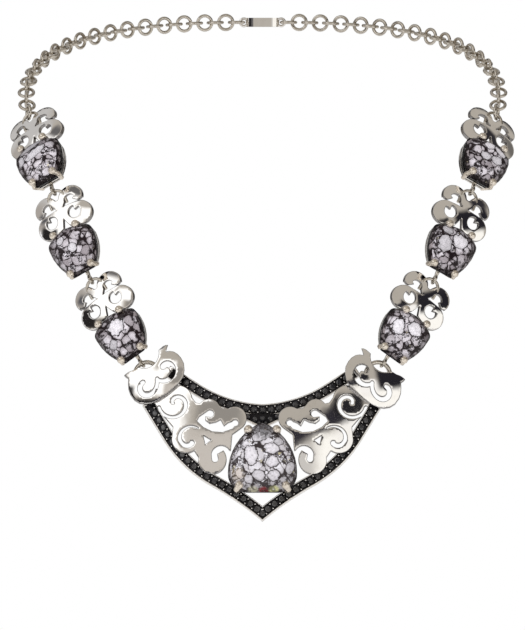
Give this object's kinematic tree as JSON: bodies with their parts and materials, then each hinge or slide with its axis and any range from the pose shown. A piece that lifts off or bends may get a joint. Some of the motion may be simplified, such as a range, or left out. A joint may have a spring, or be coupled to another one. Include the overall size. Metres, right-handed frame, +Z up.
{
  "type": "crystal necklace",
  "caption": "Bib necklace with a pierced V-shaped scroll plaque, an egg-shaped crystal, shield crystals on scroll links up both sides and a plain back chain.",
  "frame": {"origin": "middle of the clasp at the nape, where the worn necklace hangs", "axes": "+X to the wearer's left, which is the right of the picture; -Y out of the front of the chest; +Z up"},
  "size_m": [0.134, 0.1131, 0.1346],
  "materials": {
    "silver": "polished silver with dark recesses",
    "crystal": "cut and polished over pale chips",
    "black_stone": "cut black stone"
  },
  "bodies": {
    "root": {"centre_plaque": "silver", "centre_stone": "crystal", "pave_stones": "black_stone", "station_r1": "silver", "station_r2": "silver", "station_r3": "silver", "station_l1": "silver", "station_l2": "silver", "station_l3": "silver", "stone_r1": "crystal", "stone_r2": "crystal", "stone_r3": "crystal", "stone_l1": "crystal", "stone_l2": "crystal", "stone_l3": "crystal", "chain_right": "silver", "chain_left": "silver", "clasp": "silver"}
  },
  "joints": []
}
